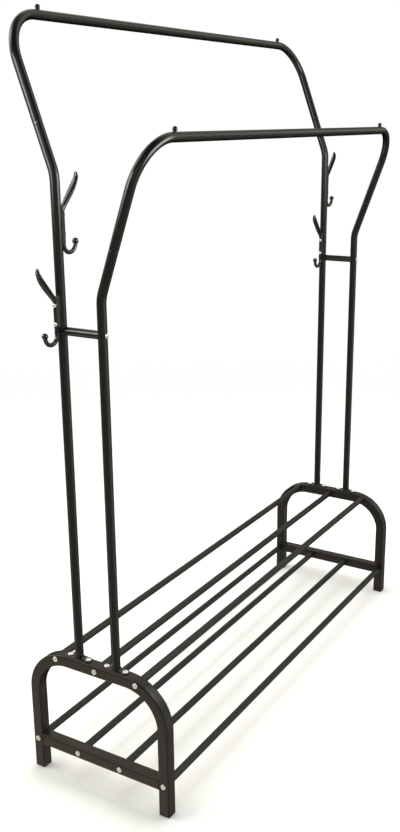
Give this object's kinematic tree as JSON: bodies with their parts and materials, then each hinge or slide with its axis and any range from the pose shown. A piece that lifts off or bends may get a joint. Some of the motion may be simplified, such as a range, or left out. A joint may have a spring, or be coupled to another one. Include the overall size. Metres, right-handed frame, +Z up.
{
  "type": "garment rail",
  "caption": "Free-standing garment rail with a high rear rail and a lower front rail on bent uprights, double hooks at the ends and an open shoe-rack base of round bars.",
  "frame": {"origin": "on the floor, midway between the four legs", "axes": "+X along the rails with the left end at -X, +Y to the rear where the higher rail is, +Z up"},
  "size_m": [1.2832, 0.35, 1.5597],
  "materials": {
    "base_powder_coat": "satin black powder coat on bent square tube and shelf bars",
    "upright_powder_coat": "satin black powder coat on round tube",
    "rail_powder_coat": "semi-gloss black powder coat, slightly glossier than the base",
    "hook_enamel": "gloss black enamel on a casting",
    "zinc_fastener": "bright zinc plate",
    "foot_plastic": "fine-grained black plastic",
    "insert_plastic": "moulded threaded plug",
    "nut_steel": "plain weld nut"
  },
  "bodies": {
    "frame": {"left_bar_end_plugs": "insert_plastic", "left_crossbar": "base_powder_coat", "left_end_arch": "base_powder_coat", "left_flange_nuts": "nut_steel", "left_flange_screws": "zinc_fastener", "left_front_flange": "upright_powder_coat", "left_front_foot_plug": "foot_plastic", "left_front_upright": "upright_powder_coat", "left_hook_screws": "zinc_fastener", "left_link_bolts": "zinc_fastener", "left_link_plugs": "insert_plastic", "left_link_tube": "upright_powder_coat", "left_lower_hook": "hook_enamel", "left_rear_flange": "upright_powder_coat", "left_rear_foot_plug": "foot_plastic", "left_rear_upright": "upright_powder_coat", "left_shelf_bolts": "zinc_fastener", "left_upper_hook": "hook_enamel", "lower_shelf_bar_front": "base_powder_coat", "lower_shelf_bar_front_middle": "base_powder_coat", "lower_shelf_bar_rear": "base_powder_coat", "lower_shelf_bar_rear_middle": "base_powder_coat", "right_bar_end_plugs": "insert_plastic", "right_crossbar": "base_powder_coat", "right_end_arch": "base_powder_coat", "right_flange_nuts": "nut_steel", "right_flange_screws": "zinc_fastener", "right_front_flange": "upright_powder_coat", "right_front_foot_plug": "foot_plastic", "right_front_upright": "upright_powder_coat", "right_hook_screws": "zinc_fastener", "right_link_bolts": "zinc_fastener", "right_link_plugs": "insert_plastic", "right_link_tube": "upright_powder_coat", "right_lower_hook": "hook_enamel", "right_rear_flange": "upright_powder_coat", "right_rear_foot_plug": "foot_plastic", "right_rear_upright": "upright_powder_coat", "right_shelf_bolts": "zinc_fastener", "right_upper_hook": "hook_enamel", "upper_shelf_bar_front": "base_powder_coat", "upper_shelf_bar_middle": "base_powder_coat", "upper_shelf_bar_rear": "base_powder_coat"},
    "front_rail": {"front_hanging_rail": "rail_powder_coat", "left_front_rail_stop": "rail_powder_coat", "right_front_rail_stop": "rail_powder_coat"},
    "rear_rail": {"left_rear_rail_stop": "rail_powder_coat", "rear_hanging_rail": "rail_powder_coat", "right_rear_rail_stop": "rail_powder_coat"}
  },
  "joints": [
    {"name": "front_rail_lift", "type": "slide", "parent": "frame", "child": "front_rail", "axis": [0, -0.342, 0.9397], "range_m": [0, 0.05]},
    {"name": "rear_rail_lift", "type": "slide", "parent": "frame", "child": "rear_rail", "axis": [0, 0.342, 0.9397], "range_m": [0, 0.05]}
  ]
}
